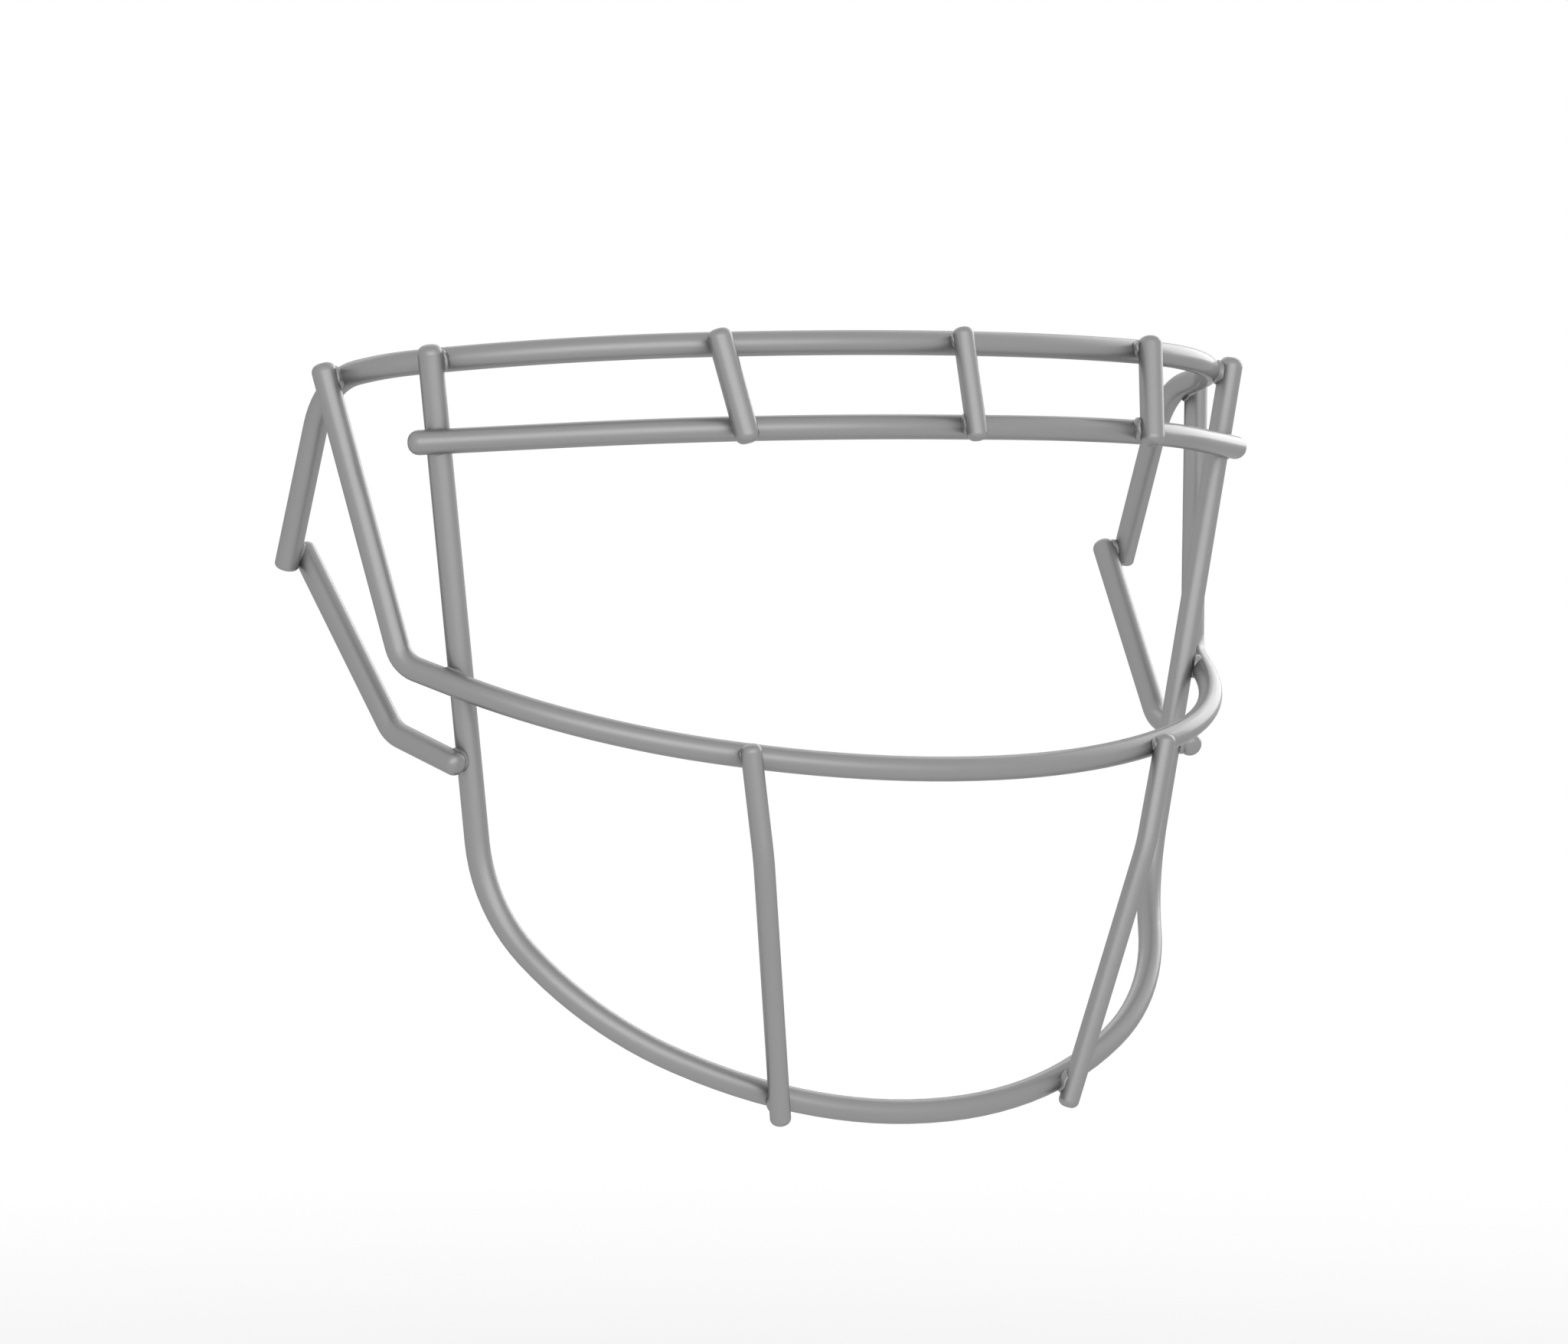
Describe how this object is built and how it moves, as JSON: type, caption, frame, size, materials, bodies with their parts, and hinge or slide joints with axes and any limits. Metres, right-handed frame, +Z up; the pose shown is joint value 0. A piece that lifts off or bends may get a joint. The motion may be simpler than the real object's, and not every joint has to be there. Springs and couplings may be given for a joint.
{
  "type": "football helmet facemask",
  "caption": "Open-cage sports helmet face guard of bent round steel bars welded at their crossings, with hangers and side loops for helmet clips.",
  "frame": {"origin": "middle of the brow rail, on the centre line of the bar", "axes": "+X to the wearer's left, +Y to the back, from the face guard towards the helmet, +Z up"},
  "size_m": [0.249, 0.105, 0.1771],
  "materials": {
    "bar_coat": "satin grey dipped coating over steel bar, soft gloss",
    "weld_coat": "the same grey coating, slightly pooled over the weld flash"
  },
  "bodies": {
    "root": {"brow_rail": "bar_coat", "brow_strut_centre": "bar_coat", "brow_strut_left": "bar_coat", "brow_strut_right": "bar_coat", "chin_strut_left": "bar_coat", "chin_strut_right": "bar_coat", "mouth_bar": "bar_coat", "second_rail": "bar_coat", "side_loop_left": "bar_coat", "side_loop_right": "bar_coat", "u_bar": "bar_coat", "weld_chin_strut_foot_left": "weld_coat", "weld_chin_strut_foot_right": "weld_coat", "weld_chin_strut_top_left": "weld_coat", "weld_chin_strut_top_right": "weld_coat", "weld_loop_foot_left": "weld_coat", "weld_loop_foot_right": "weld_coat", "weld_loop_top_left": "weld_coat", "weld_loop_top_right": "weld_coat", "weld_mouth_brow_left": "weld_coat", "weld_mouth_brow_right": "weld_coat", "weld_mouth_u_bar_left": "weld_coat", "weld_mouth_u_bar_right": "weld_coat", "weld_second_u_bar_left": "weld_coat", "weld_second_u_bar_right": "weld_coat", "weld_strut_foot_centre": "weld_coat", "weld_strut_foot_left": "weld_coat", "weld_strut_foot_right": "weld_coat", "weld_strut_top_centre": "weld_coat", "weld_strut_top_left": "weld_coat", "weld_strut_top_right": "weld_coat", "weld_u_bar_brow_left": "weld_coat", "weld_u_bar_brow_right": "weld_coat"}
  },
  "joints": []
}
